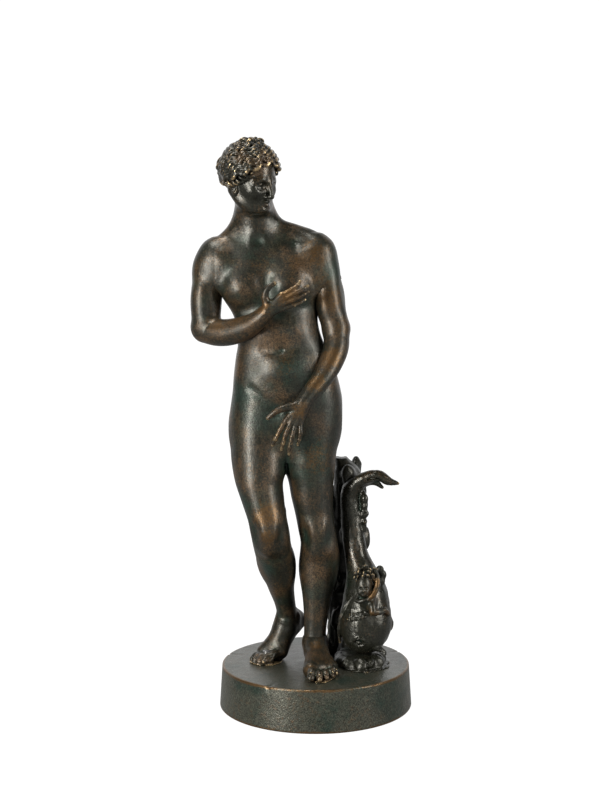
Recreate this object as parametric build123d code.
"""Bronze statuette: a standing classical figure beside a dolphin and cupid, on a hollow round plinth.

Units are millimetres. The origin is the centre of the plinth's resting plane, +Z is up and the
figure faces -Y, so +X is the figure's own left-hand side. The statuette is an assembly of hollow
and solid castings, joined by tenons with cross pins and clamped to the plinth by studs and nuts.
"""

import os

from build123d import *

# ---- driving dimensions -------------------------------------------------------------------
PLINTH_FOOT_RADIUS = 50.0
PLINTH_TOP_RADIUS = 48.7
PLINTH_HEIGHT = 22.0
PLINTH_WALL = 3.5
PLINTH_DECK = 4.0
PLINTH_EDGE = 0.7

BRONZE_WALL = 3.2
JOINT_CLEARANCE = 0.05
PIN_RADIUS = 0.8
PIN_CLEARANCE = 0.02
PIN_RECESS = 0.5

STUD_RADIUS = 2.0
STUD_CLEARANCE = 0.1
STUD_BITE = 6.0
STUD_TAIL = 5.2
WASHER_RADIUS = 4.6
WASHER_THICKNESS = 0.8
NUT_ACROSS_FLATS = 7.0
NUT_HEIGHT = 3.2

DECK = PLINTH_HEIGHT
DECK_UNDERSIDE = PLINTH_HEIGHT - PLINTH_DECK

# ---- stations: (x, y, z, half width, half depth), sections level ------------------------------
TORSO = [
    (-15.4, 1.6, 122.0, 8.0, 8.0),
    (-15.4, 2.0, 129.0, 15.0, 11.0),
    (-15.4, 2.8, 136.0, 21.5, 13.6),
    (-15.3, 3.4, 145.0, 26.4, 16.0),
    (-15.0, 3.4, 154.0, 27.9, 17.0),
    (-15.0, 2.6, 165.0, 27.2, 16.0),
    (-15.8, 1.2, 176.0, 25.0, 14.0),
    (-16.6, 0.0, 186.0, 22.8, 12.6),
    (-17.0, -0.4, 194.0, 21.7, 12.2),
    (-19.4, -1.2, 203.0, 21.5, 12.9),
    (-21.6, -1.6, 212.0, 22.2, 14.2),
    (-22.4, -1.2, 220.0, 24.2, 14.6),
    (-23.4, 0.0, 228.0, 26.6, 13.4),
    (-24.8, 1.2, 235.0, 26.0, 11.2),
    (-26.4, 2.2, 240.5, 17.5, 9.4),
    (-28.2, 2.4, 245.0, 10.8, 8.9),
]
CORE_BOTTOM = 3
STANDING_LEG = [
    (-1.2, 3.2, 152.0, 13.6, 15.6),
    (-1.8, 1.8, 140.0, 14.0, 15.4),
    (-2.0, 0.8, 127.0, 13.2, 14.6),
    (-1.2, -0.4, 113.0, 11.6, 12.8),
    (-0.4, -1.6, 101.0, 10.1, 11.0),
    (0.8, -1.8, 91.0, 9.6, 10.6),
    (1.6, 0.0, 81.0, 10.0, 10.2),
    (1.6, 1.0, 72.0, 9.8, 10.0),
    (1.4, 1.0, 63.0, 8.6, 9.0),
    (0.7, 0.0, 54.0, 7.2, 7.8),
    (0.1, -0.8, 45.0, 6.0, 6.6),
    (0.0, -1.2, 36.5, 5.7, 6.6),
]
BENT_THIGH = [
    (-29.2, 3.0, 152.0, 13.6, 15.4),
    (-29.2, 0.4, 139.0, 14.0, 15.0),
    (-28.8, -3.6, 126.0, 13.4, 14.0),
    (-27.4, -8.0, 113.0, 11.6, 12.2),
    (-25.4, -11.6, 101.0, 9.8, 10.4),
    (-23.8, -12.8, 92.0, 9.0, 9.6),
]
BENT_KNEE = ((-23.7, -12.0, 93.6), 9.3)
BENT_SHIN = [
    (-23.6, -11.0, 96.0, 8.6, 8.8),
    (-22.4, -8.2, 86.0, 9.2, 9.4),
    (-20.6, -2.6, 75.0, 9.4, 9.8),
    (-18.8, 3.0, 64.0, 8.0, 8.8),
    (-16.4, 8.4, 54.0, 6.4, 7.0),
    (-14.2, 12.2, 46.0, 5.7, 6.2),
    (-13.6, 13.4, 42.0, 5.6, 6.0),
]

# ---- arm stations: (x, y, z, radius), sections square to the limb ------------------------------
RIGHT_SHOULDER = ((-52.6, 1.4, 232.0), 9.3)
RIGHT_UPPER_ARM = [(-55.0, -0.8, 218.0, 8.0), (-55.8, -2.4, 209.0, 7.5), (-56.0, -4.0, 201.0, 7.6)]
RIGHT_FOREARM = [
    (-57.0, -4.4, 197.2, 7.2),
    (-47.0, -11.8, 197.2, 7.0),
    (-37.0, -18.2, 200.6, 5.8),
    (-29.6, -22.6, 204.4, 4.6),
    (-24.4, -25.2, 207.6, 4.0),
]
LEFT_SHOULDER = ((4.0, 1.4, 232.4), 9.2)
LEFT_UPPER_ARM = [(7.4, -0.4, 217.5, 7.8), (9.4, -1.6, 208.0, 7.3), (11.0, -3.2, 198.0, 7.2)]
LEFT_FOREARM = [
    (11.2, -3.4, 195.4, 7.0),
    (8.2, -10.4, 185.6, 6.4),
    (3.0, -16.6, 175.4, 5.4),
    (-2.4, -20.8, 167.4, 4.4),
    (-6.2, -23.0, 162.4, 3.9),
]

# ---- hands: palm end, knuckle line, then (knuckle, middle joint, tip) for each finger ---------
RIGHT_PALM = [(-25.4, -25.0, 206.8), (-14.6, -25.6, 212.6)]
RIGHT_FINGERS = [
    [(-13.8, -24.8, 217.0), (-8.8, -24.2, 219.6), (-4.4, -22.8, 221.2)],
    [(-12.6, -25.0, 214.4), (-6.6, -24.2, 217.2), (-1.8, -22.2, 218.6)],
    [(-12.8, -25.0, 211.6), (-7.0, -24.2, 214.2), (-2.0, -22.2, 215.6)],
    [(-14.2, -24.8, 208.8), (-8.8, -24.2, 210.8), (-4.4, -22.4, 212.4)],
    [(-22.4, -26.0, 211.0), (-24.0, -26.0, 216.4), (-20.4, -25.0, 220.6)],
]
LEFT_PALM = [(-5.6, -22.8, 163.2), (-11.2, -24.8, 152.4)]
LEFT_FINGERS = [
    [(-15.2, -25.2, 153.2), (-18.6, -25.4, 147.0), (-20.8, -24.6, 141.6)],
    [(-12.8, -25.4, 151.0), (-15.0, -25.6, 144.6), (-16.8, -24.2, 139.4)],
    [(-10.2, -25.2, 150.2), (-11.6, -25.4, 143.6), (-13.0, -24.0, 137.2)],
    [(-7.4, -24.6, 151.0), (-8.0, -24.8, 145.4), (-9.0, -23.6, 140.8)],
    [(-12.4, -24.4, 159.4), (-18.4, -26.2, 158.2), (-23.2, -26.4, 154.6)],
]
PALM_HALF_WIDTH = 5.2
PALM_HALF_THICKNESS = 2.6
FINGER_ROOT_RADIUS = 1.65
FINGER_TIP_RADIUS = 1.25

# ---- head ---------------------------------------------------------------------------------
NECK_JOINT_Z = 245.0
NECK = [
    (-28.2, 2.4, 245.0, 10.8, 8.9),
    (-29.6, 1.4, 250.0, 9.2, 8.8),
    (-30.6, -0.6, 256.0, 8.9, 9.0),
    (-31.6, -2.0, 264.0, 9.2, 9.6),
]
HEAD_TURN = 52.0
SKULL_CENTRE = (-36.2, -4.2, 277.0)
SKULL_LENGTH, SKULL_BREADTH, SKULL_TOP = 17.4, 15.0, 14.2
FACE_CENTRE = (-30.0, -9.0, 268.4)
FACE_LENGTH, FACE_BREADTH, FACE_HEIGHT = 10.6, 10.0, 13.0
CHIGNON_CENTRE = (-46.6, 4.4, 277.4)
CHIGNON_RADIUS = 7.4
TOPKNOT_CENTRE = (-35.0, -5.0, 290.4)
TOPKNOT_LENGTH, TOPKNOT_RADIUS = 11.0, 3.9

# ---- feet: (x, y, z) of the sole line from heel to toe, with half width and height ------------
STANDING_FOOT = [
    (0.2, 5.6, 4.4, 9.2),
    (-0.1, 1.0, 5.6, 13.6),
    (0.6, -8.0, 6.0, 12.4),
    (1.4, -18.0, 7.0, 9.4),
    (2.0, -27.0, 8.0, 6.6),
    (2.2, -36.4, 7.0, 4.2),
]
BENT_FOOT_HEEL = (-10.2, 22.2, 40.6)
BENT_FOOT_BALL = (-24.8, 1.2, 25.8)
BENT_FOOT_TOE = (-30.2, -6.8, 24.6)
BENT_ANKLE = ((-14.0, 14.0, 41.0), 6.0)
ANKLE_JOINT_Z = 36.5

# ---- dolphin, cupid and support -------------------------------------------------------------
TRUNK = [
    (15.5, 23.0, DECK, 11.0, 9.5),
    (14.5, 22.5, 40.0, 8.6, 8.2),
    (15.5, 22.0, 62.0, 8.8, 8.0),
    (17.0, 21.0, 84.0, 8.0, 7.6),
    (19.0, 20.0, 104.0, 8.2, 7.4),
    (17.5, 19.6, 117.0, 7.4, 6.8),
    (16.0, 19.6, 125.5, 4.6, 4.8),
]
MOUND = [
    (23.6, 1.0, DECK, 13.6, 19.0),
    (24.2, 1.6, 25.5, 13.2, 18.2),
    (24.8, 2.4, 29.0, 11.8, 15.6),
    (25.2, 2.6, 32.6, 9.0, 11.4),
]
DOLPHIN_HEAD_CENTRE = (26.2, -1.6, 45.4)
DOLPHIN_HEAD_RADIUS = 13.3
DOLPHIN_TAIL = [
    (26.0, -0.6, 46.0, 13.0),
    (27.0, 1.4, 57.0, 12.0),
    (26.6, 4.4, 68.0, 9.4),
    (24.0, 6.6, 78.0, 7.2),
    (20.8, 7.8, 88.0, 5.8),
    (18.8, 8.0, 98.0, 4.8),
    (18.2, 7.8, 108.0, 4.4),
]
FLUKE = [
    (17.4, 7.8, 105.0, 4.6, 4.0),
    (20.2, 7.4, 113.0, 7.2, 3.6),
    (26.0, 6.4, 119.0, 6.6, 2.8),
    (33.0, 4.4, 119.6, 5.4, 2.2),
    (40.6, 2.0, 116.8, 2.4, 1.2),
]
CUPID_HEAD_CENTRE = (25.2, -17.0, 68.4)
CUPID_HEAD_RADIUS = 6.2
CUPID_BODY = [
    (25.6, -15.2, 63.0, 4.0),
    (27.0, -15.4, 57.0, 5.4),
    (28.0, -15.0, 51.0, 5.6),
]
CUPID_LIMBS = [
    [(29.6, -15.6, 61.6), (34.4, -13.6, 66.4), (35.4, -9.6, 70.4)],
    [(22.0, -15.0, 61.4), (17.8, -13.4, 58.0), (15.2, -9.6, 58.6)],
    [(30.2, -15.6, 51.8), (33.0, -17.2, 54.6), (37.6, -14.8, 50.4)],
    [(24.6, -16.0, 50.6), (20.0, -16.8, 52.4), (16.0, -14.6, 47.6)],
]
CUPID_LIMB_RADIUS = 2.3

FLUKE_LEAN = [8, 35, 68, 95, 112]
TOUCH_GAP = 0.15

DOLPHIN_DOWEL = {"foot": (25.6, 4.0, 27.0), "toward": (0, 0, 1), "radius": 1.5, "length": 9.0}
CUPID_DOWEL = {"foot": (27.0, -8.6, 55.0), "toward": (0, -1, 0), "radius": 1.2, "length": 6.4}
DOWEL_END_GAP = 0.2

BREASTS = [(-33.2, -10.8, 218.6), (-12.2, -10.8, 218.6)]
BREAST_HALF_SIZES = (8.4, 7.2, 7.8)
SEAT_MUSCLES = [(-26.4, 11.2, 146.0), (-4.6, 11.2, 146.0)]
SEAT_HALF_SIZES = (11.8, 10.2, 13.6)

STUD_PLACES = {
    "left_foot": (0.8, -6.0),
    "right_foot": (-25.6, 0.0),
    "support": (20.0, 12.0),
}


BOTTOM_UP = (Align.CENTER, Align.CENTER, Align.MIN)
TOP_DOWN = (Align.CENTER, Align.CENTER, Align.MAX)


# ---- helpers --------------------------------------------------------------------------------
def level_loft(stations):
    """A smooth solid through level ellipses."""
    sections = []
    for x, y, z, half_width, half_depth in stations:
        sections.append(Plane((x, y, z)) * Ellipse(half_width, half_depth))
    return loft(sections)


def limb_loft(stations):
    """A smooth solid through circles square to the line that joins the stations."""
    centres = [Vector(*station[:3]) for station in stations]
    sections = []
    for index, station in enumerate(stations):
        before = centres[max(index - 1, 0)]
        after = centres[min(index + 1, len(centres) - 1)]
        plane = Plane(origin=centres[index], z_dir=(after - before).normalized())
        sections.append(plane * Circle(station[3]))
    return loft(sections)


def square_plane(stations, index):
    """The plane square to a limb at one of its stations, facing along the limb."""
    centres = [Vector(*station[:3]) for station in stations]
    before = centres[max(index - 1, 0)]
    after = centres[min(index + 1, len(centres) - 1)]
    return Plane(origin=centres[index], z_dir=(after - before).normalized())


def ball(centre, radius):
    return Pos(*centre) * Sphere(radius)


def ellipsoid(centre, along, across, upward, turn=0.0):
    """An ellipsoid with its long axis along +X before it is turned about Z."""
    return Pos(*centre) * Rot(0, 0, turn) * scale(Sphere(1.0), by=(along, across, upward))


def rod(start, end, start_radius, end_radius):
    """A tapered rod with a round end."""
    start, end = Vector(*start), Vector(*end)
    axis = end - start
    plane = Plane(origin=start, z_dir=axis.normalized())
    if start_radius == end_radius:
        body = plane * Cylinder(start_radius, axis.length, align=BOTTOM_UP)
    else:
        body = plane * Cone(start_radius, end_radius, axis.length, align=BOTTOM_UP)
    return body + ball(end, end_radius)


def upright(x, y, bottom, top, radius):
    return Pos(x, y, bottom) * Cylinder(radius, top - bottom, align=BOTTOM_UP)


def largest_solid(shape):
    """The biggest solid of a shape, without stray crumbs left by cutting."""
    return max(shape.solids(), key=lambda solid: solid.volume)


def hand(palm, fingers):
    """A palm and five fingers fused into one solid, where the last finger is the thumb."""
    wrist, knuckles = Vector(*palm[0]), Vector(*palm[1])
    reach = knuckles - wrist
    spread = Vector(*fingers[0][0]) - Vector(*fingers[3][0])
    plane = Plane(origin=wrist, x_dir=spread, z_dir=reach.normalized())
    blank = RectangleRounded(2 * PALM_HALF_WIDTH, 2 * PALM_HALF_THICKNESS, 0.8 * PALM_HALF_THICKNESS)
    wrist_section = plane * Ellipse(0.78 * PALM_HALF_WIDTH, 1.2 * PALM_HALF_THICKNESS)
    knuckle_section = plane.offset(reach.length) * blank
    solid = loft([wrist_section, knuckle_section])
    for knuckle, middle, tip in fingers:
        solid += ball(knuckle, FINGER_ROOT_RADIUS)
        solid += rod(knuckle, middle, FINGER_ROOT_RADIUS, 0.5 * (FINGER_ROOT_RADIUS + FINGER_TIP_RADIUS))
        solid += rod(middle, tip, 0.5 * (FINGER_ROOT_RADIUS + FINGER_TIP_RADIUS), FINGER_TIP_RADIUS)
    return solid


# ---- plinth ---------------------------------------------------------------------------------
def make_plinth():
    """The hollow round base, open underneath, with a clear hole for each stud."""
    slope = (PLINTH_FOOT_RADIUS - PLINTH_TOP_RADIUS) / PLINTH_HEIGHT
    profile = Polyline(
        (PLINTH_FOOT_RADIUS - PLINTH_WALL, 0),
        (PLINTH_FOOT_RADIUS - PLINTH_EDGE, 0),
        (PLINTH_FOOT_RADIUS, PLINTH_EDGE),
        (PLINTH_TOP_RADIUS + slope * PLINTH_EDGE, PLINTH_HEIGHT - PLINTH_EDGE),
        (PLINTH_TOP_RADIUS - PLINTH_EDGE, PLINTH_HEIGHT),
        (0, PLINTH_HEIGHT),
        (0, DECK_UNDERSIDE),
        (PLINTH_TOP_RADIUS - PLINTH_WALL, DECK_UNDERSIDE),
        (PLINTH_FOOT_RADIUS - PLINTH_WALL, 0),
    )
    plinth = revolve(Plane.XZ * make_face(profile), Axis.Z)
    for x, y in STUD_PLACES.values():
        plinth -= upright(x, y, DECK_UNDERSIDE - 1, DECK + 1, STUD_RADIUS + STUD_CLEARANCE)
    return plinth


# ---- joints between castings --------------------------------------------------------------------
def tenon_on(plane, radius, length):
    """A plug that stands behind the joint plane, into the casting that holds it."""
    return plane * Cylinder(radius, length, align=TOP_DOWN)


def pin_line(plane, depth):
    """The middle and direction of the cross pin, which runs along the joint plane's own X."""
    middle = plane.origin - plane.z_dir * depth
    return middle, plane.x_dir


def cross_pin(plane, depth, reach, radius):
    middle, direction = pin_line(plane, depth)
    pin_plane = Plane(origin=middle, z_dir=direction)
    return pin_plane * Cylinder(radius, 2 * reach)


TENONS = {
    "neck": {"plane": Plane((NECK[0][0], NECK[0][1], NECK_JOINT_Z)), "radius": 5.0, "length": 8.0,
             "pin_depth": 4.2, "pin_reach": 10.6},
    "right_arm": {"plane": square_plane(RIGHT_UPPER_ARM, 0), "radius": 3.4, "length": 8.0,
                  "pin_depth": 4.0, "pin_reach": 7.2},
    "left_arm": {"plane": square_plane(LEFT_UPPER_ARM, 0), "radius": 3.4, "length": 8.0,
                 "pin_depth": 4.0, "pin_reach": 7.0},
    "ankle": {"plane": Plane(origin=(0.0, -1.2, ANKLE_JOINT_Z), z_dir=(0, 0, -1), x_dir=(1, 0, 0)),
              "radius": 2.7, "length": 7.0, "pin_depth": 3.6, "pin_reach": 5.0},
}


def tenon(name):
    spec = TENONS[name]
    plug = tenon_on(spec["plane"], spec["radius"], spec["length"])
    return plug - cross_pin(spec["plane"], spec["pin_depth"], spec["pin_reach"], PIN_RADIUS + PIN_CLEARANCE)


def socket(name):
    """What a casting loses to take another casting's tenon and its cross pin."""
    spec = TENONS[name]
    hole = tenon_on(spec["plane"], spec["radius"] + JOINT_CLEARANCE, spec["length"] + 0.3)
    return hole + cross_pin(spec["plane"], spec["pin_depth"], 20.0, PIN_RADIUS + PIN_CLEARANCE)


def joint_pin(name):
    spec = TENONS[name]
    reach = spec["pin_reach"] - PIN_RECESS
    return cross_pin(spec["plane"], spec["pin_depth"], reach, PIN_RADIUS)


# ---- figure -----------------------------------------------------------------------------------
def standing_foot_solid():
    """The foot that carries the weight, from its sole to the ankle joint."""
    sections = []
    for x, y, half_width, height in STANDING_FOOT:
        plane = Plane(origin=(x, y, DECK + height / 2), x_dir=(1, 0, 0), z_dir=(0, -1, 0))
        corner = 0.42 * min(height, 2 * half_width)
        sections.append(plane * RectangleRounded(2 * half_width, height, corner))
    foot = loft(sections)
    ankle = level_loft([(0.0, -1.4, DECK + 4.0, 4.6, 5.6), (0.0, -1.2, ANKLE_JOINT_Z, 5.7, 6.6)])
    return foot + ankle


def bent_foot_solid():
    """The foot of the bent leg, with its heel raised and its ball on the plinth."""
    foot = rod(BENT_FOOT_HEEL, BENT_FOOT_BALL, 5.4, 5.0)
    foot += ball(BENT_FOOT_HEEL, 5.4)
    foot += ball(*BENT_ANKLE)
    toes = Vector(*BENT_FOOT_TOE) - Vector(*BENT_FOOT_BALL)
    plane = Plane(origin=BENT_FOOT_BALL, x_dir=(-toes.Y, toes.X, 0), z_dir=toes.normalized())
    front = [plane * Ellipse(7.0, 3.6), plane.offset(toes.length) * Ellipse(6.2, 2.4)]
    foot += loft(front)
    above_deck = Pos(0, 0, DECK) * Cylinder(PLINTH_FOOT_RADIUS, PLINTH_FOOT_RADIUS, align=BOTTOM_UP)
    return foot & above_deck


def shoulder_stub(shoulder, upper_arm):
    """The rounded shoulder with the short length of arm above the joint."""
    centre, radius = shoulder
    plane = square_plane(upper_arm, 0)
    length = (plane.origin - Vector(*centre)).length
    stub = plane * Cone(0.97 * radius, upper_arm[0][3], length, align=TOP_DOWN)
    return stub + ball(centre, radius)


def make_body():
    """Torso, legs and the bent leg's foot in one hollow casting."""
    body = level_loft(TORSO)
    body += level_loft(STANDING_LEG)
    body += level_loft(BENT_THIGH) + level_loft(BENT_SHIN)
    body += ball(*BENT_KNEE)
    body += bent_foot_solid()
    body += shoulder_stub(RIGHT_SHOULDER, RIGHT_UPPER_ARM)
    body += shoulder_stub(LEFT_SHOULDER, LEFT_UPPER_ARM)
    for centre in BREASTS:
        body += ellipsoid(centre, *BREAST_HALF_SIZES)
    for centre in SEAT_MUSCLES:
        body += ellipsoid(centre, *SEAT_HALF_SIZES)
    core = [
        (x, y, z, half_width - BRONZE_WALL - 0.8, half_depth - BRONZE_WALL - 0.4)
        for x, y, z, half_width, half_depth in TORSO[CORE_BOTTOM:-1]
    ]
    body -= level_loft(core)
    for name in TENONS:
        body -= socket(name)
    body -= stud_hole("right_foot")
    return largest_solid(body)


def make_head():
    """Head and neck, with the hair dressed up into a topknot and a chignon."""
    head = level_loft(NECK)
    head += ellipsoid(SKULL_CENTRE, SKULL_LENGTH, SKULL_BREADTH, SKULL_TOP, HEAD_TURN - 90)
    head += ellipsoid(FACE_CENTRE, FACE_LENGTH, FACE_BREADTH, FACE_HEIGHT, HEAD_TURN - 90)
    head += ball(CHIGNON_CENTRE, CHIGNON_RADIUS)
    head += ellipsoid(TOPKNOT_CENTRE, TOPKNOT_RADIUS, TOPKNOT_LENGTH / 2, TOPKNOT_RADIUS, HEAD_TURN - 90)
    head += tenon("neck")
    return largest_solid(head)


def make_arm(name, upper_arm, forearm, palm, fingers):
    arm = limb_loft(upper_arm) + limb_loft(forearm)
    arm += ball(upper_arm[-1][:3], upper_arm[-1][3])
    arm += hand(palm, fingers)
    beside_torso = [(*station[:3], station[3] + TOUCH_GAP, station[4] + TOUCH_GAP) for station in TORSO]
    arm = largest_solid(arm - level_loft(beside_torso))
    arm += tenon(name)
    return largest_solid(arm)


def make_left_foot():
    foot = standing_foot_solid() + tenon("ankle")
    return largest_solid(foot - stud_hole("left_foot"))


# ---- dolphin and cupid ----------------------------------------------------------------------
def make_support():
    """The rock and waves that carry the dolphin, in one casting."""
    support = level_loft(TRUNK) + level_loft(MOUND)
    support -= ball(DOLPHIN_HEAD_CENTRE, DOLPHIN_HEAD_RADIUS + JOINT_CLEARANCE)
    support -= stud_hole("support")
    support -= dowel(DOLPHIN_DOWEL, PIN_CLEARANCE)
    return largest_solid(support)


def dolphin_outer():
    dolphin = ball(DOLPHIN_HEAD_CENTRE, DOLPHIN_HEAD_RADIUS)
    dolphin += limb_loft(DOLPHIN_TAIL)
    sections = []
    for (x, y, z, half_width, half_depth), lean in zip(FLUKE, FLUKE_LEAN):
        plane = Plane((x, y, z)) * Rot(0, lean, 0)
        sections.append(plane * Ellipse(half_depth, half_width))
    return dolphin + loft(sections)


def dowel(spec, clearance=0.0, extra=0.0):
    """A loose dowel between two castings, or the hole for one when it is given a clearance."""
    plane = Plane(origin=spec["foot"], z_dir=spec["toward"])
    length = spec["length"] + extra
    return plane * Cylinder(spec["radius"] + clearance, length, align=BOTTOM_UP)


def make_dolphin():
    dolphin = dolphin_outer()
    dolphin -= level_loft(TRUNK)
    dolphin -= dowel(DOLPHIN_DOWEL, PIN_CLEARANCE, DOWEL_END_GAP)
    dolphin -= dowel(CUPID_DOWEL, PIN_CLEARANCE)
    return largest_solid(dolphin)


def make_cupid():
    """The small winged rider, seated against the dolphin's brow."""
    cupid = limb_loft(CUPID_BODY) + ball(CUPID_BODY[-1][:3], CUPID_BODY[-1][3])
    cupid += ball(CUPID_HEAD_CENTRE, CUPID_HEAD_RADIUS)
    for root, elbow, tip in CUPID_LIMBS:
        cupid += ball(root, CUPID_LIMB_RADIUS)
        cupid += rod(root, elbow, CUPID_LIMB_RADIUS, 0.9 * CUPID_LIMB_RADIUS)
        cupid += rod(elbow, tip, 0.9 * CUPID_LIMB_RADIUS, 0.8 * CUPID_LIMB_RADIUS)
    seat = ball(DOLPHIN_HEAD_CENTRE, DOLPHIN_HEAD_RADIUS + TOUCH_GAP)
    rest = [(x, y, z, radius + TOUCH_GAP) for x, y, z, radius in DOLPHIN_TAIL]
    cupid = cupid - seat - limb_loft(rest)
    cupid -= dowel(CUPID_DOWEL, PIN_CLEARANCE, DOWEL_END_GAP)
    return largest_solid(cupid)


# ---- fasteners --------------------------------------------------------------------------------
def stud_hole(name):
    """The tapped hole in a casting's foot."""
    x, y = STUD_PLACES[name]
    return upright(x, y, DECK - 1, DECK + STUD_BITE + 0.2, STUD_RADIUS + PIN_CLEARANCE)


def make_stud(name):
    x, y = STUD_PLACES[name]
    bottom = DECK_UNDERSIDE - WASHER_THICKNESS - NUT_HEIGHT - STUD_TAIL / 4
    return upright(x, y, bottom, DECK + STUD_BITE, STUD_RADIUS)


def make_washer(name):
    x, y = STUD_PLACES[name]
    bottom = DECK_UNDERSIDE - WASHER_THICKNESS
    washer = upright(x, y, bottom, DECK_UNDERSIDE, WASHER_RADIUS)
    return washer - upright(x, y, bottom - 1, DECK, STUD_RADIUS + STUD_CLEARANCE)


def make_nut(name):
    x, y = STUD_PLACES[name]
    top = DECK_UNDERSIDE - WASHER_THICKNESS
    outline = RegularPolygon(NUT_ACROSS_FLATS / 2, 6, major_radius=False)
    nut = Pos(x, y, top - NUT_HEIGHT) * extrude(outline, NUT_HEIGHT)
    return nut - upright(x, y, top - NUT_HEIGHT - 1, top + 1, STUD_RADIUS + PIN_CLEARANCE)


# ---- parts --------------------------------------------------------------------------------------
def build():
    parts = {
        "plinth": make_plinth(),
        "figure_body": make_body(),
        "head": make_head(),
        "right_arm": make_arm("right_arm", RIGHT_UPPER_ARM, RIGHT_FOREARM, RIGHT_PALM, RIGHT_FINGERS),
        "left_arm": make_arm("left_arm", LEFT_UPPER_ARM, LEFT_FOREARM, LEFT_PALM, LEFT_FINGERS),
        "left_foot": make_left_foot(),
        "rock_support": make_support(),
        "dolphin": make_dolphin(),
        "cupid": make_cupid(),
        "dolphin_dowel": dowel(DOLPHIN_DOWEL),
        "cupid_dowel": dowel(CUPID_DOWEL),
    }
    for name in TENONS:
        parts[f"{name}_pin"] = joint_pin(name)
    for name in STUD_PLACES:
        parts[f"{name}_stud"] = make_stud(name)
        parts[f"{name}_washer"] = make_washer(name)
        parts[f"{name}_nut"] = make_nut(name)
    return parts


def main():
    os.makedirs("parts", exist_ok=True)
    for name, shape in build().items():
        export_step(shape, f"parts/{name}.step")
        print(name, len(shape.solids()), round(shape.volume, 1), shape.is_valid)


main()
